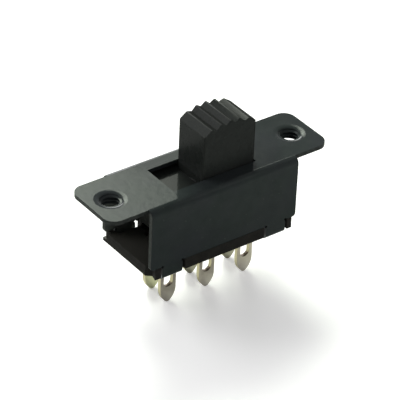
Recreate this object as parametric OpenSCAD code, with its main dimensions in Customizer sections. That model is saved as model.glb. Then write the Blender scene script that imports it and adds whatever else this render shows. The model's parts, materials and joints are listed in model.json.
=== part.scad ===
// Panel-mount slide switch, two poles, two positions, six solder lugs.
// A folded sheet-steel channel with two ears carries a moulded slider on top of an insulating board.
// Origin: centre of the plate's top face. +X along the travel, +Y across, +Z out of the panel.
// The slider is drawn at the +X end of its travel. All sizes are in millimetres.

/* [Slider travel] */
// Distance between the two switch positions
travel = 4.5; // [3.6:0.1:4.9]

/* [Mounting] */
// Distance between the centres of the two mounting holes
hole_pitch = 28.58; // [28.3:0.01:31]
// Diameter of the mounting holes, before the thread is cut
hole_d = 2.9; // [2.2:0.02:3.1]
// From each hole's centre to the tip of its ear
ear_margin = 3.2; // [2.9:0.01:4]
// Width of the ears
ear_w = 9.35; // [8.8:0.05:9.6]
// Radius of the ear corners
ear_r = 1.7; // [0.5:0.1:2.6]
// Width of the drawn lip round each hole
lip_w = 0.75; // [0.3:0.05:0.8]
// Depth at which the lip runs into the hole's straight wall
lip_depth = 0.25; // [0.2:0.05:0.55]
// Wall of the drawn collar under each hole
collar_wall = 0.36; // [0.25:0.01:0.5]
// Height of the drawn collar below the sheet
collar_h = 1; // [0.6:0.05:1.6]

/* [Steel channel] */
// Thickness of the sheet
sheet_t = 0.6; // [0.4:0.05:0.8]
// Outside width of the channel
channel_w = 11; // [10.4:0.05:12]
// Depth of the side walls below the plate's top face
wall_depth = 9.08; // [8.9:0.02:11]
// Outside radius of the folds along the plate
fold_r = 0.95; // [0.85:0.05:1.2]
// Radius of the walls' lower corners
wall_corner_r = 0.5; // [0.3:0.1:1.3]
// Radius of the relief cut beside each crimp tab
relief_r = 0.2; // [0.1:0.05:0.35]

/* [Crimp tabs] */
// Width of each tab
tab_w = 3.2; // [2:0.1:3.7]
// Distance of the tabs' centres from the middle
tab_x = 8.33; // [8.2:0.01:8.4]
// How far both tabs of a wall are set to one side
tab_skew = 0.1; // [0:0.05:0.4]
// Length of the tab's leg under the board, from the wall's inner face
tab_leg = 1.5; // [1.2:0.1:1.9]
// Inside radius of the tab's fold
tab_fold_r = 0.15; // [0.05:0.05:0.3]

/* [Base board] */
// Thickness of the board
board_t = 1.55; // [1.2:0.05:2.5]
// How far each end of the board stops short of the channel's end
board_inset = 0.2; // [0.1:0.02:0.6]
// How far the board stands out past each side wall
board_lip = 0.1; // [0:0.01:0.6]
// Thickness of the board's full-size lower layer
board_skirt_t = 0.45; // [0.2:0.05:0.7]
// Corner step of the board above that layer, along X
corner_step_x = 0.46; // [0.1:0.02:0.7]
// Corner step of the board above that layer, along Y
corner_step_y = 1.2; // [0.2:0.05:1.3]
// Clip of the board's front corners, along the front edge
corner_clip_x = 0.45; // [0.2:0.05:0.7]
// Clip of the board's front corners, along the end
corner_clip_y = 1.6; // [1.2:0.05:1.8]
// Knee of that clip, in from the board's end
corner_knee_x = 0.7; // [0.7:0.02:0.9]
// Knee of that clip, in from the board's front edge
corner_knee_y = 1; // [0.6:0.05:1.1]
// Gap between a tab and its notch, towards the board's end
notch_gap_end = 0.25; // [0.1:0.05:0.4]
// Gap between a front tab and its notch, towards the middle
notch_gap_front = 0.35; // [0.1:0.05:1.2]
// Gap between a rear tab and its notch, towards the middle
notch_gap_rear = 0.85; // [0.1:0.05:1.3]
// Depth of the front tabs' notches, in from the board's edge
notch_in_front = 1; // [0.9:0.05:1.8]
// Depth of the rear tabs' notches, in from the board's edge
notch_in_rear = 1.8; // [1.2:0.05:2]

/* [Knob] */
// Length of the knob along the travel
knob_l = 8.34; // [6.5:0.02:8.4]
// Draft of the knob's end faces, from its foot up to its shoulders
knob_draft = 0.1; // [0:0.02:0.2]
// Width of the knob
knob_w = 5.56; // [4:0.02:5.8]
// Height of the middle ridge above the plate
knob_h = 7.6; // [4:0.1:12]
// Radius of the arch that the ridges follow
arch_r = 7.8; // [6:0.1:20]
// Number of ridges
ridge_count = 5; // [3:1:7]
// Distance between ridges
ridge_pitch = 1.45; // [0.9:0.05:1.5]
// Depth of the grooves between the ridges
groove_depth = 0.48; // [0.2:0.02:0.7]
// Width of each ridge's flat crest
crest_w = 0.2; // [0.1:0.02:0.4]
// Drop of the knob's end shoulders below the outer crests
shoulder_drop = 0.75; // [0.3:0.05:1.5]
// Radius of the knob's upright corners
knob_corner_r = 0.3; // [0.1:0.05:0.8]

/* [Slider carriage] */
// Gap between the carriage and the contact pads
skirt_gap = 0.45; // [0.3:0.05:0.7]
// Depth of the channel along the carriage's top
top_recess = 0.4; // [0.2:0.05:0.8]
// Width of each rail beside that channel
rail_w = 1.15; // [0.6:0.05:1.3]
// How far the carriage reaches past the slot at each end of the travel
slot_cover = 0.45; // [0.3:0.05:1]

/* [Clearances] */
// Running clearance beside the knob and the carriage
side_gap = 0.16; // [0.08:0.01:0.25]
// Clearance between the sheet and the carriage's rails
rail_gap = 0.15; // [0.08:0.01:0.25]
// Clearance of the knob at each end of the slot
end_gap = 0.15; // [0.05:0.01:0.3]
// Clearance of the carriage inside the channel's ends
body_gap = 0.15; // [0.05:0.01:0.4]
// Clearance of pieces that are set into the slider
set_gap = 0.1; // [0.05:0.01:0.15]
// Gap under the wipers and beside the balls
contact_gap = 0.05; // [0.03:0.01:0.1]

/* [Terminals] */
// Distance between neighbouring lugs in a row
lug_pitch = 6.25; // [6:0.05:6.5]
// Distance of each row from the middle
lug_row = 1.73; // [1.6:0.01:1.85]
// Width of a lug
lug_w = 2.45; // [2:0.05:2.8]
// Thickness of the terminal strip
lug_t = 0.6; // [0.4:0.05:0.65]
// Length of the lugs below the board
lug_l = 7.4; // [5:0.1:12]
// Height of the lug's pointed end
lug_point_h = 2.1; // [1.5:0.1:3]
// Radius of the lug's tip
lug_tip_r = 0.5; // [0.2:0.05:0.7]
// Width of the lug's eye
eye_w = 1.45; // [0.8:0.05:1.6]
// Length of the lug's eye
eye_l = 3.5; // [1.8:0.1:4]
// Height of the eye's lower end above the tip
eye_rise = 2.4; // [1.5:0.1:3]
// Length of the contact pads
pad_l = 2.8; // [2.4:0.1:3]
// Reach of the contact pads outward from the lug's inner face
pad_w = 2; // [1.6:0.05:2]
// How far the end pads lie in from their lugs
pad_shift = 0.75; // [0.5:0.05:0.9]

/* [Contacts] */
// Thickness of the wiper strip
wiper_t = 0.4; // [0.2:0.02:0.45]
// Width of the wipers
wiper_w = 1.8; // [1:0.05:1.85]
// Outside radius of the wipers' feet
foot_r = 0.9; // [0.7:0.02:0.95]
// Height of the wiper's bridge above the centres of its feet
bridge_rise = 0.5; // [0.2:0.05:0.8]

/* [Springs and detent] */
// Outside diameter of the coil springs
spring_d = 1.8; // [1.2:0.05:1.85]
// Diameter of the spring wire
wire_d = 0.28; // [0.2:0.01:0.35]
// Coils of each spring
spring_turns = 6; // [4:1:9]
// Height of the wiper springs
spring_h = 4.2; // [3:0.1:4.6]
// Diameter of the detent balls
ball_d = 2; // [1.4:0.1:2.2]
// Distance of the detent bore behind the knob's centre
detent_x = 5.2; // [5.1:0.05:6]
// Depth of the detent bore's axis below the plate
detent_depth = 4.2; // [3.2:0.1:5.6]
// Depth of the dimples that the balls find in the walls
dimple_depth = 0.25; // [0.1:0.01:0.3]

/* [Hidden] */
$fn = 48;

STEEL = [0.14, 0.15, 0.16];
BOARD = [0.12, 0.1, 0.09];
MOULDING = [0.1, 0.1, 0.1];
SILVER = [0.75, 0.72, 0.65];
COPPER = [0.72, 0.5, 0.34];
WIRE = [0.6, 0.61, 0.63];

// sides of the part: the front wall faces -Y
front = -1;
rear = 1;
left = -1;
centre = 0;
right = 1;
// how far a cutter runs past the face that it opens
over = 1;
// flat ring of the ear that is drawn with each collar, and how far it laps the ear
collar_rim = 0.3;
collar_lap = 0.1;

// the slot, the carriage and the channel follow the knob and its travel
slot_l = knob_l + travel + 2 * end_gap;
slot_w = knob_w + 2 * side_gap;
carriage_l = slot_l + travel + 2 * slot_cover;
channel_l = carriage_l + travel + 2 * body_gap;
inner_w = channel_w - 2 * sheet_t;
carriage_w = inner_w - 2 * side_gap;
overall_l = hole_pitch + 2 * ear_margin;
slider_x = travel / 2;

board_l = channel_l - 2 * board_inset;
board_w = channel_w + 2 * board_lip;
board_top = -wall_depth;
board_bottom = board_top - board_t;

tab_foot = board_bottom - sheet_t;
tab_end_y = inner_w / 2 - tab_leg;
collar_rim_r = hole_d / 2 + max(collar_wall, lip_w) + collar_rim;

pad_top = board_top + lug_t;
pad_inner_y = lug_row - lug_t / 2;
pole_y = pad_inner_y + pad_w / 2;
lug_tip = board_bottom - lug_l;

carriage_top = -sheet_t - rail_gap;
carriage_bottom = pad_top + skirt_gap;
recess_floor = carriage_top - top_recess;

// the wiper's feet are as far apart as two neighbouring pads
foot_x = (lug_pitch - pad_shift) / 2;
foot_z = pad_top + contact_gap + foot_r;
bridge_bottom = foot_z + bridge_rise;
bridge_top = bridge_bottom + wiper_t;
spring_top = bridge_top + spring_h;
wiper_room_top = bridge_top + set_gap;

ball_r = ball_d / 2;
ball_y = inner_w / 2 - contact_gap - ball_r;
detent_bore_r = max(ball_d, spring_d) / 2 + set_gap / 2;
detent_spring_end = ball_y - sqrt(pow(ball_r, 2) - pow(spring_d / 2 - wire_d, 2));

// ---- helpers ----

// box from its lowest to its highest corner
module block(low, high) {
    translate(low) cube(high - low);
}

// outline in X and Z, given thickness along Y from y0 to y1
module across(y0, y1) {
    translate([0, y1, 0]) rotate([90, 0, 0]) linear_extrude(height = y1 - y0) children();
}

// outline in Y and Z, given length along X from x0 to x1
module along(x0, x1) {
    translate([x0, 0, 0]) rotate([90, 0, 90]) linear_extrude(height = x1 - x0) children();
}

// rectangle between two corners
module rect(low, high) {
    translate(low) square(high - low);
}

// wire of a coil spring, wound round Z from z0 to z1
module coil(z0, z1) {
    steps = 14;
    sides = 6;
    rings = steps * spring_turns;
    r = (spring_d - wire_d) / 2;
    rise = z1 - z0 - wire_d;
    points = [for (i = [0 : rings], k = [0 : sides - 1])
        let (a = 360 * i / steps, b = 360 * k / sides, m = r + wire_d / 2 * cos(b))
        [m * cos(a), m * sin(a), z0 + wire_d / 2 + rise * i / rings + wire_d / 2 * sin(b)]];
    walls = [for (i = [0 : rings - 1], k = [0 : sides - 1])
        let (p = i * sides + k, q = i * sides + (k + 1) % sides)
        each [[p, q, p + sides], [p + sides, q, q + sides]]];
    start_cap = [for (k = [sides - 1 : -1 : 0]) k];
    end_cap = [for (k = [0 : sides - 1]) rings * sides + k];
    polyhedron(points, concat(walls, [start_cap, end_cap]));
}

// ---- steel channel ----

// section of the folded channel, filled in
module channel_section(w, depth, r) {
    rect([-w / 2, -depth], [w / 2, -r]);
    rect([-w / 2 + r, -r], [w / 2 - r, 0]);
    for (side = [-1, 1]) translate([side * (w / 2 - r), -r]) circle(r);
}

// top plate between its two side walls
module channel() {
    along(-channel_l / 2, channel_l / 2) difference() {
        channel_section(channel_w, wall_depth, fold_r);
        translate([0, -sheet_t]) channel_section(inner_w, wall_depth, fold_r - sheet_t);
    }
}

// right-hand ear with the flat of the plate that it grows from
module ear() {
    l = overall_l / 2;
    flat_w = min(ear_w, channel_w - 2 * fold_r);
    translate([0, 0, -sheet_t]) linear_extrude(height = sheet_t) {
        rect([0, -flat_w / 2], [l - ear_r, flat_w / 2]);
        rect([channel_l / 2, -ear_w / 2], [l - ear_r, ear_w / 2]);
        rect([l - ear_r, -ear_w / 2 + ear_r], [l, ear_w / 2 - ear_r]);
        for (side = [-1, 1]) translate([l - ear_r, side * (ear_w / 2 - ear_r)]) circle(ear_r);
    }
}

// drawn lip and collar round one mounting hole
module hole_collar() {
    hole_r = hole_d / 2;
    rotate_extrude() difference() {
        union() {
            rect([hole_r, -sheet_t], [collar_rim_r, 0]);
            rect([hole_r, -sheet_t - collar_h], [hole_r + collar_wall, -sheet_t]);
        }
        difference() {
            rect([0, -lip_depth], [hole_r + lip_w, over]);
            translate([hole_r + lip_w, -lip_depth]) scale([lip_w / lip_depth, 1]) circle(lip_depth);
        }
    }
}

// crimp tab of the rear wall: down through the board's notch and in under the board
module crimp_tab() {
    face = channel_w / 2;
    outer_r = tab_fold_r + sheet_t;
    bend = [face - outer_r, tab_foot + outer_r];
    along(-tab_w / 2, tab_w / 2) {
        rect([inner_w / 2, bend[1]], [face, board_top + relief_r]);
        rect([tab_end_y, tab_foot], [bend[0], board_bottom]);
        intersection() {
            difference() {
                translate(bend) circle(outer_r);
                translate(bend) circle(tab_fold_r);
            }
            rect([bend[0], tab_foot], [face, bend[1]]);
        }
    }
}

// places its children at both tabs of the rear wall
module at_tabs() {
    for (side = [left, right]) translate([side * tab_x - tab_skew, 0, 0]) children();
}

// round cuts that let one tab fold without tearing
module relief_cuts() {
    for (side = [left, right]) translate([side * tab_w / 2, 0, board_top])
        across(inner_w / 2 - sheet_t / 2, channel_w / 2 + over) circle(relief_r);
}

// what leaves a round lower corner on both walls at the right-hand end
module wall_corner_cut() {
    r = wall_corner_r;
    translate([channel_l / 2 - r, 0, -wall_depth + r]) across(-channel_w, channel_w) difference() {
        rect([0, -r - over], [r + over, 0]);
        circle(r);
    }
}

// dimples inside both walls, one pair for each switch position
module detent_dimples() {
    for (x = [-slider_x, slider_x], side = [front, rear])
        translate([x - detent_x, side * (inner_w / 2 + dimple_depth - ball_r), -detent_depth]) sphere(ball_r);
}

module frame() {
    color(STEEL) {
        difference() {
            union() {
                channel();
                for (turn = [0, 180]) rotate([0, 0, turn]) {
                    ear();
                    at_tabs() crimp_tab();
                }
            }
            for (turn = [0, 180]) rotate([0, 0, turn]) {
                wall_corner_cut();
                at_tabs() relief_cuts();
                translate([hole_pitch / 2, 0, 0])
                    cylinder(h = 3 * sheet_t, r = collar_rim_r - collar_lap, center = true);
            }
            detent_dimples();
            block([-slot_l / 2, -slot_w / 2, -sheet_t - over], [slot_l / 2, slot_w / 2, over]);
        }
        for (side = [left, right]) translate([side * hole_pitch / 2, 0, 0]) hole_collar();
    }
}

// ---- insulating board ----

// notches round both tabs of the rear wall, with the given depth and gap towards the middle
module tab_notches(depth, middle_gap) {
    for (side = [left, right]) {
        tab = side * tab_x - tab_skew;
        ends = [tab - side * (tab_w / 2 + middle_gap), tab + side * (tab_w / 2 + notch_gap_end)];
        block([min(ends), board_w / 2 - depth, board_bottom - over], [max(ends), board_w / 2 + over, board_top + over]);
    }
}

// step in the right rear corner, above the board's lower layer
module corner_step() {
    block([board_l / 2 - corner_step_x, board_w / 2 - corner_step_y, board_bottom + board_skirt_t],
          [board_l / 2 + over, board_w / 2 + over, board_top + over]);
}

// clip of the right rear corner, through the board
module corner_clip() {
    x = board_l / 2;
    y = board_w / 2;
    translate([0, 0, board_bottom - over]) linear_extrude(height = board_t + 2 * over)
        polygon([[x - corner_clip_x, y], [x - corner_clip_x, y + over], [x + over, y + over],
                 [x + over, y - corner_clip_y], [x, y - corner_clip_y], [x - corner_knee_x, y - corner_knee_y]]);
}

module base_board() {
    color(BOARD) difference() {
        block([-board_l / 2, -board_w / 2, board_bottom], [board_l / 2, board_w / 2, board_top]);
        tab_notches(notch_in_rear, notch_gap_rear);
        rotate([0, 0, 180]) tab_notches(notch_in_front, notch_gap_front);
        for (x = [0, 1], y = [0, 1]) mirror([x, 0, 0]) mirror([0, y, 0]) {
            corner_step();
            if (y == 1) corner_clip();
        }
        for (column = [left, centre, right], row = [front, rear])
            translate([column * lug_pitch, row * lug_row, board_bottom + board_t / 2])
                cube([lug_w + set_gap, lug_t + set_gap, board_t + 2 * over], center = true);
    }
}

// ---- terminals ----

// bullet-shaped lug with its oblong eye, from its tip up to the board's top
module lug_outline() {
    w = lug_w / 2;
    k = lug_point_h - lug_tip_r;
    // flanks tangent to the lug's sides and to its round tip
    flank_r = (w * w + k * k - lug_tip_r * lug_tip_r) / (2 * (w - lug_tip_r));
    flank_z = lug_tip + lug_point_h;
    tip_z = lug_tip + lug_tip_r;
    meet_z = tip_z - lug_tip_r * k / (flank_r - lug_tip_r);
    difference() {
        union() {
            rect([-w, flank_z], [w, board_top]);
            intersection() {
                translate([flank_r - w, flank_z]) circle(flank_r);
                translate([w - flank_r, flank_z]) circle(flank_r);
                rect([-w, meet_z], [w, flank_z]);
            }
            translate([0, tip_z]) circle(lug_tip_r);
        }
        for (z = [eye_w / 2, eye_l - eye_w / 2])
            translate([0, lug_tip + eye_rise + z]) circle(eye_w / 2);
        rect([-eye_w / 2, lug_tip + eye_rise + eye_w / 2], [eye_w / 2, lug_tip + eye_rise + eye_l - eye_w / 2]);
    }
}

// section of the pad: bent over the board's edge of the slot and laid flat on its top
module pad_section() {
    bend_y = pad_inner_y + lug_t;
    rect([bend_y, board_top], [pad_inner_y + pad_w, pad_top]);
    intersection() {
        translate([bend_y, board_top]) circle(lug_t);
        rect([pad_inner_y, board_top], [bend_y, pad_top]);
    }
}

module terminal(row, column) {
    pad_x = column * (lug_pitch - pad_shift);
    color(SILVER) mirror([0, row == front ? 1 : 0, 0]) {
        translate([column * lug_pitch, 0, 0]) across(pad_inner_y, pad_inner_y + lug_t) lug_outline();
        along(pad_x - pad_l / 2, pad_x + pad_l / 2) pad_section();
    }
}

// ---- slider ----

// side view of the knob, with ridges along an arch
module knob_outline() {
    function arch_z(x) = knob_h - arch_r + sqrt(arch_r * arch_r - x * x);
    first = -(ridge_count - 1) / 2 * ridge_pitch;
    crests = [for (i = [0 : ridge_count - 1]) first + i * ridge_pitch];
    shoulder_x = knob_l / 2 - knob_draft;
    shoulder_z = arch_z(first) - shoulder_drop;
    ridges = [for (x = crests)
        each [[x - crest_w / 2, arch_z(x)], [x + crest_w / 2, arch_z(x)],
              if (x < -first - ridge_pitch / 2)
                  [x + ridge_pitch / 2, arch_z(x + ridge_pitch / 2) - groove_depth]]];
    polygon(concat([[-knob_l / 2, recess_floor], [-shoulder_x, shoulder_z]], ridges,
                   [[shoulder_x, shoulder_z], [knob_l / 2, recess_floor]]));
}

// plan of the knob, with round upright corners
module knob_plan() {
    r = knob_corner_r;
    square([knob_l - 2 * r, knob_w], center = true);
    square([knob_l, knob_w - 2 * r], center = true);
    for (x = [-1, 1], y = [-1, 1]) translate([x * (knob_l / 2 - r), y * (knob_w / 2 - r)]) circle(r);
}

module knob() {
    intersection() {
        across(-knob_w, knob_w) knob_outline();
        translate([0, 0, recess_floor]) linear_extrude(height = knob_h - recess_floor + over) knob_plan();
    }
}

// room for one wiper and its spring in the underside of the carriage
module pole_room(row) {
    room_l = foot_x + foot_r + set_gap;
    room_w = wiper_w / 2 + set_gap;
    block([-room_l, row * pole_y - room_w, carriage_bottom - over], [room_l, row * pole_y + room_w, wiper_room_top]);
    translate([0, row * pole_y, bridge_top]) cylinder(h = spring_h, r = (spring_d + set_gap) / 2);
}

// block that runs inside the channel, open above between its two rails
module carriage() {
    l = carriage_l / 2;
    w = carriage_w / 2;
    difference() {
        block([-l, -w, carriage_bottom], [l, w, carriage_top]);
        block([-l - over, -w + rail_w, recess_floor], [l + over, w - rail_w, carriage_top + over]);
        for (row = [front, rear]) pole_room(row);
        translate([-detent_x, 0, -detent_depth]) rotate([90, 0, 0])
            cylinder(h = carriage_w + over, r = detent_bore_r, center = true);
    }
}

module actuator() {
    color(MOULDING) translate([slider_x, 0, 0]) {
        carriage();
        knob();
    }
}

// side view of a wiper: a bridge between two round feet
module wiper_outline() {
    for (side = [-1, 1]) mirror([side == 1 ? 0 : 1, 0]) {
        intersection() {
            difference() {
                translate([foot_x, foot_z]) circle(foot_r);
                translate([foot_x, foot_z]) circle(foot_r - wiper_t);
            }
            rect([foot_x - foot_r, foot_z - foot_r], [foot_x + foot_r, foot_z]);
        }
        rect([foot_x - foot_r, foot_z], [foot_x - foot_r + wiper_t, bridge_bottom]);
        rect([foot_x + foot_r - wiper_t, foot_z], [foot_x + foot_r, bridge_bottom]);
    }
    rect([-foot_x + foot_r - wiper_t, bridge_bottom], [foot_x - foot_r + wiper_t, bridge_top]);
}

module wiper(row) {
    y = row * pole_y;
    color(COPPER) translate([slider_x, 0, 0]) across(y - wiper_w / 2, y + wiper_w / 2) wiper_outline();
}

module pole_spring(row) {
    color(WIRE) translate([slider_x, row * pole_y, 0]) coil(bridge_top, spring_top);
}

module detent_spring() {
    color(WIRE) translate([slider_x - detent_x, 0, -detent_depth]) rotate([90, 0, 0])
        coil(-detent_spring_end, detent_spring_end);
}

module detent_ball(row) {
    color(WIRE) translate([slider_x - detent_x, row * ball_y, -detent_depth]) sphere(ball_r);
}

frame();
base_board();
actuator();
terminal(front, left);  // terminal_front_left
terminal(front, centre);  // terminal_front_centre
terminal(front, right);  // terminal_front_right
terminal(rear, left);  // terminal_rear_left
terminal(rear, centre);  // terminal_rear_centre
terminal(rear, right);  // terminal_rear_right
wiper(front);  // wiper_front
wiper(rear);  // wiper_rear
pole_spring(front);  // spring_front
pole_spring(rear);  // spring_rear
detent_spring();
detent_ball(front);  // detent_ball_front
detent_ball(rear);  // detent_ball_rear
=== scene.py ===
import json
import math

import bmesh
import bpy
from mathutils import Matrix, Vector


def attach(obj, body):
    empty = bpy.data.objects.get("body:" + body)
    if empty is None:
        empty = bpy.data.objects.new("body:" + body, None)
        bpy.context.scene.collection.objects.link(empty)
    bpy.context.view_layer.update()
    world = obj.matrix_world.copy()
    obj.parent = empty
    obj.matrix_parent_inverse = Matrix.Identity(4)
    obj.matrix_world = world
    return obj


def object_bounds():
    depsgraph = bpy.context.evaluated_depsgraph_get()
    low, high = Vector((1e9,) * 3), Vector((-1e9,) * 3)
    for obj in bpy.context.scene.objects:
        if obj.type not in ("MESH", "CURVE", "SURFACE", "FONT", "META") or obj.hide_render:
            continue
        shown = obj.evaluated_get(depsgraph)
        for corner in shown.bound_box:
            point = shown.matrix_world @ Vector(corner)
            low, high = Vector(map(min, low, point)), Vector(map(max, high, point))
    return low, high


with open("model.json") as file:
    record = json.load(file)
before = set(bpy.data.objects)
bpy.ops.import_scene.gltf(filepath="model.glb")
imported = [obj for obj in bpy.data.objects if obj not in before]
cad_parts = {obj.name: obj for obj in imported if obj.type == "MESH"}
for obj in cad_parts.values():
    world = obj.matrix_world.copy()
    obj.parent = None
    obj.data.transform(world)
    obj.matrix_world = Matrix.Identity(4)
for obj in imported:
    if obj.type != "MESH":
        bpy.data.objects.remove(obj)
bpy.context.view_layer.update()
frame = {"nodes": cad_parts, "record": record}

MM = 0.001
NODES = frame["nodes"]
RECORD = frame["record"]
HOLES = next(mount for mount in RECORD["mounts"] if mount["name"] == "mounting_holes")["dims"]

# ---- camera: where the eye stands, what it looks at and how it is held ----

CAMERA_AIM = Vector((-0.708, -0.853, -4.659)) * MM
CAMERA_AZIMUTH = math.radians(-37.38)
CAMERA_ELEVATION = math.radians(34.07)
CAMERA_ROLL = math.radians(2.44)
CAMERA_DISTANCE = 332.2 * MM
CAMERA_LENS = 229.9
CAMERA_SENSOR = 36
CAMERA_CLIP = (0.01, 10)


def add_camera():
    camera = bpy.data.objects.new("camera", bpy.data.cameras.new("camera"))
    bpy.context.scene.collection.objects.link(camera)
    camera.data.lens = CAMERA_LENS
    camera.data.sensor_width = CAMERA_SENSOR
    camera.data.clip_start, camera.data.clip_end = CAMERA_CLIP
    back = Vector((
        math.sin(CAMERA_AZIMUTH) * math.cos(CAMERA_ELEVATION),
        -math.cos(CAMERA_AZIMUTH) * math.cos(CAMERA_ELEVATION),
        math.sin(CAMERA_ELEVATION),
    ))
    level = back.to_track_quat("Z", "Y").to_matrix().to_4x4()
    turn = Matrix.Rotation(CAMERA_ROLL, 4, "Z")
    place = Matrix.Translation(CAMERA_AIM + CAMERA_DISTANCE * back)
    camera.matrix_world = place @ level @ turn
    bpy.context.scene.camera = camera


# ---- materials ----

def rgba(colour):
    """Adds the alpha that a socket wants to three plain numbers."""
    return (*colour, 1) if isinstance(colour, tuple) else colour


class Shader:
    """A Principled material with the few helpers that the finishes below share.

    Their places are in millimetres and a noise's scale is per millimetre. Only the height of
    a bump is in metres, as Blender's own lengths are."""

    def __init__(self, name):
        self.material = bpy.data.materials.new(name)
        self.material.use_nodes = True
        self.tree = self.material.node_tree
        self.principled = self.tree.nodes["Principled BSDF"]
        self.coordinates = self.node("ShaderNodeTexCoord")
        self.position = self.node("ShaderNodeMapping", Scale=(1 / MM,) * 3,
                                  Vector=self.coordinates.outputs["Object"])

    def node(self, kind, settings=None, **inputs):
        made = self.tree.nodes.new(kind)
        for key, value in (settings or {}).items():
            setattr(made, key, value)
        for key, value in inputs.items():
            self.put(value, made.inputs[key.replace("_", " ")])
        return made

    def put(self, value, socket):
        if isinstance(value, bpy.types.NodeSocket):
            self.tree.links.new(value, socket)
        else:
            socket.default_value = value

    def set(self, **inputs):
        for key, value in inputs.items():
            self.put(value, self.principled.inputs[key.replace("_", " ")])

    def noise(self, scale, detail, roughness=0.5, stretch=None):
        vector = self.position.outputs["Vector"]
        if stretch:
            mapping = self.node("ShaderNodeMapping", Vector=vector, Scale=stretch)
            vector = mapping.outputs["Vector"]
        return self.node("ShaderNodeTexNoise", Vector=vector, Scale=scale, Detail=detail,
                         Roughness=roughness).outputs["Fac"]

    def ramp(self, value, *stops):
        """Two colours, each with the value at which it is reached."""
        made = self.node("ShaderNodeValToRGB", Fac=value)
        for point, (place, colour) in zip(made.color_ramp.elements, stops):
            point.position = place
            point.color = rgba(colour)
        return made.outputs["Color"]

    def level(self, value, low, high, start=0.3, end=0.7):
        """Low up to the start, high from the end on, and even in between."""
        return self.node("ShaderNodeMapRange", {"clamp": True}, Value=value, From_Min=start,
                         From_Max=end, To_Min=low, To_Max=high).outputs["Result"]

    def bump(self, height, distance, strength):
        return self.node("ShaderNodeBump", Height=height, Distance=distance,
                         Strength=strength).outputs["Normal"]

    def mix(self, factor, first, second):
        """The first colour where the factor is 0 and the second at 1."""
        made = self.node("ShaderNodeMix", {"data_type": "RGBA"})
        for socket, value in ((0, factor), (6, rgba(first)), (7, rgba(second))):
            self.put(value, made.inputs[socket])
        return made.outputs[2]

    def between(self, factor, first, second):
        """The first number where the factor is 0 and the second at 1."""
        made = self.node("ShaderNodeMix", {"data_type": "FLOAT"})
        for socket, value in ((0, factor), (2, first), (3, second)):
            self.put(value, made.inputs[socket])
        return made.outputs[0]

    def math(self, operation, *values):
        made = self.node("ShaderNodeMath", {"operation": operation})
        for value, socket in zip(values, made.inputs):
            self.put(value, socket)
        return made.outputs[0]

    def both(self, first, second):
        return self.math("MULTIPLY", first, second)

    def but_not(self, value):
        return self.math("SUBTRACT", 1.0, value)

    def part(self, which, axis):
        """One coordinate of the point in millimetres, or of the surface's normal."""
        if which == "position":
            source = self.position.outputs["Vector"]
        else:
            source = self.coordinates.outputs["Normal"]
        return self.node("ShaderNodeSeparateXYZ", Vector=source).outputs[axis]

    def away(self, axis):
        """How far the point is from the part's middle along an axis, either way."""
        return self.math("ABSOLUTE", self.part("position", axis))

    def above(self, height):
        return self.math("GREATER_THAN", self.part("position", "Z"), height)

    def below(self, height):
        return self.math("LESS_THAN", self.part("position", "Z"), height)

    def faces(self, axis, limit=0.8):
        """1 where the surface faces along the axis, either way."""
        facing = self.math("ABSOLUTE", self.part("normal", axis))
        return self.math("GREATER_THAN", facing, limit)


# places on the part, in millimetres from the centre of the plate's top face
PLATE_TOP = 0.0
EAR_START = 11.8            # the ears' outline is cut from here on
CHANNEL_END = 11.7          # end of the side walls
CHANNEL_SIDE = 4.95         # just inside the walls' inner faces
SHEET_BOTTOM = -0.62        # just under the plate
TAB_TOP = -9.2              # the walls' lower edge, where the crimp tabs begin
HOLE_RIM = 2.6              # an ear's faces nearer to the hole than this are the hole's own
SLOT_CORNER = (6.0, 9.0)    # along X: the dull strip behind the slot ends over this stretch
REAR_STRIP = (2.2, 3.8)     # across: the strip grows dull over this stretch
CARRIAGE_SIDES = -1.5       # the carriage below its top edge
KNOB_START = -0.1           # the knob stands above this height
KNOB_FOOT = (0.0, 2.0)      # the painted light on its foot fades out over these heights
REAR_ROW = 0.0              # the rear row of lugs is beyond this Y
LEFT_LUGS = (-4.5, -1.5)    # the painted light on the rear row's left lug and the painted shade on the front row's left lug fade out between these X
LUG_POINTS = (-17.6, -15.4) # the painted light on the front lugs' points fades out over these heights
LUG_TOPS = (-9.6, -9.2)     # the contacts inside the channel, which get a painted shade, are above these heights


def cut_edge(s):
    """1 on the sheet's cut edges: what faces along X, and the whole outline of both ears."""
    x = s.away("X")
    ear = s.math("GREATER_THAN", x, EAR_START)
    from_hole = s.node("ShaderNodeCombineXYZ", Y=s.part("position", "Y"),
                       X=s.math("SUBTRACT", x, HOLES["spacing_x_mm"] / 2))
    reach = s.node("ShaderNodeVectorMath", {"operation": "LENGTH"},
                   Vector=from_hole.outputs["Vector"]).outputs["Value"]
    off_the_hole = s.math("GREATER_THAN", reach, HOLE_RIM)
    outline = s.both(off_the_hole, s.but_not(s.faces("Z", 0.5)))
    ends = s.both(s.faces("X"), s.but_not(ear))
    return s.math("MAXIMUM", ends, s.both(ear, outline))


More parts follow.
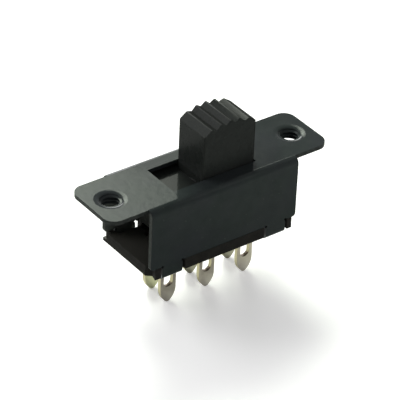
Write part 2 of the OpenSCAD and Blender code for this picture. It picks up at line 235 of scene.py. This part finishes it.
def blackened_steel():
    """Thin black finish with a mirror-like gloss: flecked, blued in patches, dusty inside the
    channel, duller behind the slot, and bare grey on the sheet's cut edges; on the tabs these
    edges are much paler still, a painted highlight."""
    s = Shader("blackened_steel")
    mottle = s.noise(0.35, 6, 0.6)
    ripple = s.noise(1.1, 3)
    edge = cut_edge(s)

    black = s.ramp(mottle, (0.3, (0.0188, 0.0244, 0.0238)), (0.7, (0.0252, 0.0318, 0.0303)))
    patches = s.level(s.noise(0.16, 2), 0.0, 0.6, start=0.4, end=0.62)
    blued = s.mix(patches, black, (0.0242, 0.0268, 0.0302))
    flecks = s.level(s.noise(1.7, 5, 0.7), 0.0, 0.6, start=0.64, end=0.72)
    flecked = s.mix(flecks, blued, (0.052, 0.058, 0.052))
    channel = s.both(s.math("LESS_THAN", s.away("Y"), CHANNEL_SIDE),
                     s.math("LESS_THAN", s.away("X"), CHANNEL_END))
    dusty = s.mix(s.both(channel, s.below(SHEET_BOTTOM)), flecked, (0.07, 0.077, 0.07))
    bare = s.ramp(s.noise(2.5, 5), (0.3, (0.012, 0.0135, 0.013)), (0.75, (0.034, 0.037, 0.035)))
    # the cut edges are bare grey; below the walls, on the tabs, they get a much paler colour, a
    # painted highlight
    bare_edges_and_tab_highlight = s.mix(s.below(TAB_TOP), bare, (0.2, 0.2, 0.21))

    beside_slot = s.level(s.away("X"), 1.0, 0.0, *SLOT_CORNER)
    dull = s.both(s.level(s.part("position", "Y"), 0.0, 0.24, *REAR_STRIP), beside_slot)
    gloss = s.math("ADD", s.level(mottle, 0.07, 0.13), dull)
    s.set(Base_Color=s.mix(edge, dusty, bare_edges_and_tab_highlight),
          Metallic=s.between(edge, 0.0, 0.2),
          Roughness=s.between(edge, gloss, 0.38),
          Specular_IOR_Level=0.05,
          Specular_Tint=rgba((0.94, 1.0, 0.95)),
          Normal=s.bump(ripple, 0.04 * MM, 0.25))
    return s.material


def phenolic_board():
    """Black laminate: dull, layered edges, and glossier on its top and underside."""
    s = Shader("phenolic_board")
    cloud = s.noise(0.8, 5, 0.6)
    layers = s.noise(1.0, 2, 0.5, stretch=(0.15, 0.15, 9))
    sheet = s.faces("Z")
    edges = s.ramp(cloud, (0.3, (0.0112, 0.011, 0.0102)), (0.7, (0.0182, 0.0174, 0.0152)))
    s.set(Base_Color=s.mix(sheet, edges, (0.042, 0.041, 0.036)),
          Roughness=s.between(sheet, s.level(layers, 0.6, 0.8), 0.16),
          Specular_IOR_Level=0.04,
          Normal=s.bump(layers, 0.03 * MM, 0.4))
    return s.material


def black_moulding():
    """Dull black plastic: a painted light on the knob's foot, a painted shade and the roughest
    finish on all that faces right, such as the ridges' flanks, dusty low on the carriage and
    rubbed glossy on its level faces."""
    s = Shader("black_moulding")
    cloud = s.noise(0.6, 4, 0.55)
    grain = s.noise(3, 2)
    black = s.ramp(cloud, (0.3, (0.0146, 0.0166, 0.0154)), (0.7, (0.0188, 0.0212, 0.0196)))
    # the knob's foot gets a paler colour, a painted light
    foot = s.both(s.level(s.part("position", "Z"), 1.0, 0.0, *KNOB_FOOT), s.above(KNOB_START))
    knob = s.mix(foot, black, (0.0255, 0.0278, 0.0265))
    # all that faces right gets a darker colour, a painted shade, and the roughest finish
    right_faces_shade_and_rough = s.level(s.part("normal", "X"), 0.0, 1.0, start=0.0, end=0.3)
    knob_with_right_shade = s.mix(right_faces_shade_and_rough, knob, (0.011, 0.012, 0.0113))
    dusty = s.mix(s.below(CARRIAGE_SIDES), knob_with_right_shade, (0.036, 0.038, 0.035))
    rubbed = s.both(s.faces("Z"), s.below(PLATE_TOP))
    gloss = s.between(right_faces_shade_and_rough, s.level(cloud, 0.24, 0.32), 1.0)
    s.set(Base_Color=dusty,
          Roughness=s.between(rubbed, gloss, 0.12),
          Specular_IOR_Level=0.04,
          Normal=s.bump(grain, 0.01 * MM, 0.1))
    return s.material


def silvered_strip():
    """Warm silver plating: yellower on the cut sides, a painted light in pale yellow on the
    rear row's left lug, a painted light at the front row's points, a painted shade on its left
    lug, brown on the small faces that look up, and a painted shade on the contacts inside the
    channel."""
    s = Shader("silvered_strip")
    tarnish = s.noise(0.9, 6, 0.6)
    brushed = s.noise(2.0, 3, 0.5, stretch=(6, 6, 0.5))
    x = s.part("position", "X")
    z = s.part("position", "Z")
    rear = s.math("GREATER_THAN", s.part("position", "Y"), REAR_ROW)
    front = s.but_not(rear)
    grey = s.ramp(tarnish, (0.3, (0.38, 0.345, 0.275)), (0.62, (0.51, 0.475, 0.39)))
    # the rear row's left lug gets a pale yellow colour, a painted light; the rest of the rear
    # row a darker yellow
    rear_lugs_painted_light = s.ramp(s.level(x, 0.0, 1.0, *LEFT_LUGS),
                  (0.0, (0.52, 0.53, 0.34)), (1.0, (0.34, 0.33, 0.25)))
    plating = s.mix(rear, grey, rear_lugs_painted_light)
    # the front row's points get a paler colour, a painted light
    points = s.both(s.level(z, 1.0, 0.0, *LUG_POINTS), front)
    with_painted_point_light = s.mix(points, plating, (0.465, 0.44, 0.385))
    # the front row's left lug is darkened, a painted shade
    shaded = s.both(s.level(x, 0.19, 0.0, *LEFT_LUGS), front)
    with_painted_left_shade = s.mix(shaded, with_painted_point_light, (0.0, 0.0, 0.0))
    cut_sides = s.mix(s.faces("X"), with_painted_left_shade, (0.5, 0.46, 0.3))
    sills = s.math("GREATER_THAN", s.part("normal", "Z"), 0.5)
    outside = s.mix(sills, cut_sides, (0.16, 0.13, 0.1))
    # the contacts inside the channel get a near black colour, a painted shade
    inside_painted_shade = s.level(z, 0.0, 1.0, *LUG_TOPS)
    s.set(Base_Color=s.mix(inside_painted_shade, outside, (0.03, 0.027, 0.02)),
          Metallic=1.0,
          Roughness=s.level(brushed, 0.3, 0.42),
          Normal=s.bump(brushed, 0.02 * MM, 0.3))
    return s.material


def plain_metal(name, texture, dark, light, roughness):
    """Bare metal whose colour and gloss both follow one noise."""
    s = Shader(name)
    cloud = s.noise(*texture)
    s.set(Base_Color=s.ramp(cloud, (0.3, dark), (0.7, light)),
          Metallic=1.0,
          Roughness=s.level(cloud, *roughness))
    return s.material


FINISHES = {
    "blackened_steel": blackened_steel(),
    "phenolic_board": phenolic_board(),
    "black_moulding": black_moulding(),
    "silvered_strip": silvered_strip(),
    # its colours are painted dark, a painted shade on the wipers inside the channel
    "contact_copper": plain_metal("contact_copper", (1.2, 5, 0.6), (0.12, 0.06, 0.035),
                                  (0.3, 0.17, 0.11), (0.3, 0.45)),
    "spring_wire": plain_metal("spring_wire", (3, 4, 0.5), (0.42, 0.42, 0.43),
                               (0.6, 0.6, 0.6), (0.25, 0.38)),
    "ball_steel": plain_metal("ball_steel", (2, 3, 0.5), (0.68, 0.68, 0.69),
                              (0.78, 0.78, 0.79), (0.1, 0.18)),
}


def finish_nodes():
    """Gives each CAD node the material of its slot in the record."""
    for row in RECORD["subparts"]:
        mesh = NODES[row["node"]].data
        mesh.materials.clear()
        mesh.materials.append(FINISHES[row["material_slot"]])


# ---- soft edges on the CAD nodes ----

EDGE_RADIUS = {"frame": 0.08 * MM, "base_board": 0.06 * MM, "actuator": 0.08 * MM}
LUG_EDGE_RADIUS = 0.06 * MM
EDGE_SEGMENTS = 2
EDGE_ANGLE = math.radians(35)
WELD_DISTANCE = 0.001 * MM
MOST_WEIGHT = 100


def soften(node, radius):
    """Welds the node's faces together and rounds its sharp edges; its mesh stays as it is."""
    weld = NODES[node].modifiers.new("weld", "WELD")
    weld.merge_threshold = WELD_DISTANCE
    bevel = NODES[node].modifiers.new("round_edges", "BEVEL")
    bevel.width = radius
    bevel.segments = EDGE_SEGMENTS
    bevel.limit_method = "ANGLE"
    bevel.angle_limit = EDGE_ANGLE
    bevel.harden_normals = False
    bevel.use_clamp_overlap = True


def soften_nodes():
    for node, radius in EDGE_RADIUS.items():
        soften(node, radius)
    for row in ("front", "rear"):
        for column in ("left", "centre", "right"):
            soften(f"terminal_{row}_{column}", LUG_EDGE_RADIUS)


def flatten(node):
    """Shades the node's large faces flat, where a drafted side meets its rounded corners."""
    flat = NODES[node].modifiers.new("flat_faces", "WEIGHTED_NORMAL")
    flat.weight = MOST_WEIGHT


# ---- pieces that only the scene has ----

THREAD_PITCH = 0.5 * MM
THREAD_DEPTH = 0.28 * MM
THREAD_FLANK = 0.4 * THREAD_PITCH       # half the crest's width at its root
THREAD_SUNK = 0.02 * MM                 # the root lies this deep in the collar's wall
THREAD_TOP = -0.27 * MM                 # where the lip runs into the bore's straight wall
THREAD_BOTTOM = -1.56 * MM              # lower end of the drawn collar
THREAD_OVERRUN = 0.85 * THREAD_FLANK    # the helix starts and ends this far past them
THREAD_STEPS = 40                       # in one turn
THREAD_STARTS = {"left": math.radians(156), "right": math.radians(74)}


def crest_rings(hole_x, bore, turned):
    """Three corners for each step of the crest: its two roots and its tip between them."""
    start = THREAD_TOP + THREAD_OVERRUN
    end = THREAD_BOTTOM - THREAD_OVERRUN
    root = bore + THREAD_SUNK
    for i in range(int(THREAD_STEPS * (start - end) / THREAD_PITCH) + 1):
        a = turned + 2 * math.pi * i / THREAD_STEPS
        z = start - THREAD_PITCH * i / THREAD_STEPS
        tip = min(max(z, THREAD_BOTTOM), THREAD_TOP)
        height = THREAD_DEPTH * (1 - abs(z - tip) / THREAD_FLANK)
        corners = ((root, min(z + THREAD_FLANK, THREAD_TOP)), (bore - height, tip),
                   (root, max(z - THREAD_FLANK, THREAD_BOTTOM)))
        yield [(hole_x + r * math.cos(a), r * math.sin(a), h) for r, h in corners]


def cut_thread(name, hole_x, bore, turned):
    """A helical crest inside one of the drawn collars, cut off flat where the bore ends."""
    bm = bmesh.new()
    rings = [[bm.verts.new(corner) for corner in ring]
             for ring in crest_rings(hole_x, bore, turned)]
    for first, second in zip(rings, rings[1:]):
        for k in range(3):
            n = (k + 1) % 3
            bm.faces.new((first[k], first[n], second[n], second[k]))
    bm.faces.new(rings[0][::-1])
    bm.faces.new(rings[-1])
    bmesh.ops.recalc_face_normals(bm, faces=bm.faces)
    mesh = bpy.data.meshes.new(name)
    bm.to_mesh(mesh)
    bm.free()
    mesh.materials.append(FINISHES["blackened_steel"])
    obj = bpy.data.objects.new(name, mesh)
    bpy.context.scene.collection.objects.link(obj)
    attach(obj, "housing")


def cut_threads():
    for side, direction in (("left", -1), ("right", 1)):
        cut_thread(f"thread_{side}", direction * HOLES["spacing_x_mm"] / 2 * MM,
                   HOLES["hole_r_mm"] * MM, THREAD_STARTS[side])


# ---- studio ----

WHITE = (1.0, 1.0, 1.0)
GLASS = (0.94, 1.0, 0.88)       # slightly green, as light that comes through a window

# round patches of the world's sky: direction, half angle, soft edge (both in degrees),
# strength and tint
SOFTBOXES = (
    ((0.265, 0.743, 0.616), 14.8, 1.4, 5.8, GLASS),     # big one behind, seen in the plate
    ((0.265, 0.743, 0.616), 11, 8, 14, GLASS),          # its bright middle
    ((-0.47, 0.64, 0.607), 16, 10, 5, WHITE),           # behind on the left
    ((0.503, -0.558, 0.66), 14, 10, 1.5, WHITE),        # in front on the right
    ((0.48, 0.84, 0.24), 9, 6, 9, WHITE),               # low behind, lights the holes' rims
)
FILL_STRENGTH = 0.3
FLOOR_HALF = 1.5
FLOOR_COLOUR = (0.93, 0.93, 0.93)
FLOOR_LIFT = 0.3                # glow of the floor as the camera sees it
FLOOR_LIFT_IN_METAL = 0.08      # and as a glossy or a clear surface shows it


def seen_directly(s):
    """1 for rays from the camera and for rays that a glossy or a clear surface sends on."""
    path = s.node("ShaderNodeLightPath").outputs
    seen = s.math("MAXIMUM", path["Is Camera Ray"], path["Is Glossy Ray"])
    return s.math("MAXIMUM", seen, path["Is Transmission Ray"])


def add_floor():
    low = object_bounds()[0].z
    corners = ((-1, -1), (1, -1), (1, 1), (-1, 1))
    mesh = bpy.data.meshes.new("floor")
    mesh.from_pydata([(FLOOR_HALF * x, FLOOR_HALF * y, low) for x, y in corners], [],
                     [(0, 1, 2, 3)])
    floor = bpy.data.objects.new("floor", mesh)
    bpy.context.scene.collection.objects.link(floor)
    s = Shader("floor")
    camera_ray = s.node("ShaderNodeLightPath").outputs["Is Camera Ray"]
    lift = s.math("MAXIMUM", s.both(seen_directly(s), FLOOR_LIFT_IN_METAL),
                  s.both(camera_ray, FLOOR_LIFT))
    s.set(Base_Color=rgba(FLOOR_COLOUR), Roughness=0.9, Specular_IOR_Level=0.1,
          Emission_Color=rgba(WHITE), Emission_Strength=lift)
    mesh.materials.append(s.material)


class WorldShader(Shader):
    """The same helpers on the world's own nodes."""

    def __init__(self, name):
        world = bpy.data.worlds.new(name)
        bpy.context.scene.world = world
        world.use_nodes = True
        self.tree = world.node_tree
        self.background = self.tree.nodes["Background"]

    def vectors(self, operation, first, second):
        """A sum or a dot product."""
        made = self.node("ShaderNodeVectorMath", {"operation": operation})
        self.put(first, made.inputs[0])
        self.put(second, made.inputs[1])
        return made.outputs["Value" if operation == "DOT_PRODUCT" else "Vector"]

    def tinted(self, tint, strength):
        made = self.node("ShaderNodeVectorMath", {"operation": "SCALE"}, Scale=strength)
        self.put(tint, made.inputs[0])
        return made.outputs["Vector"]

    def patch(self, direction, centre, half_angle, edge, strength):
        """The strength inside a round patch of the sky, and 0 outside its soft edge."""
        facing = self.vectors("DOT_PRODUCT", direction, centre)
        return self.node("ShaderNodeMapRange", {"interpolation_type": "SMOOTHSTEP"},
                         Value=facing,
                         From_Min=math.cos(math.radians(half_angle + edge / 2)),
                         From_Max=math.cos(math.radians(half_angle - edge / 2)),
                         To_Min=0.0, To_Max=strength).outputs["Result"]


def add_world():
    s = WorldShader("world")
    direction = s.node("ShaderNodeTexCoord").outputs["Generated"]
    light = s.tinted(WHITE, s.math("MAXIMUM", seen_directly(s), FILL_STRENGTH))
    for centre, half_angle, edge, strength, tint in SOFTBOXES:
        patch = s.patch(direction, centre, half_angle, edge, strength)
        light = s.vectors("ADD", light, s.tinted(tint, patch))
    s.put(light, s.background.inputs["Color"])
    s.put(1.0, s.background.inputs["Strength"])


bpy.context.scene.view_settings.view_transform = "Standard"
add_camera()
finish_nodes()
soften_nodes()
flatten("actuator")
cut_threads()
add_floor()
add_world()
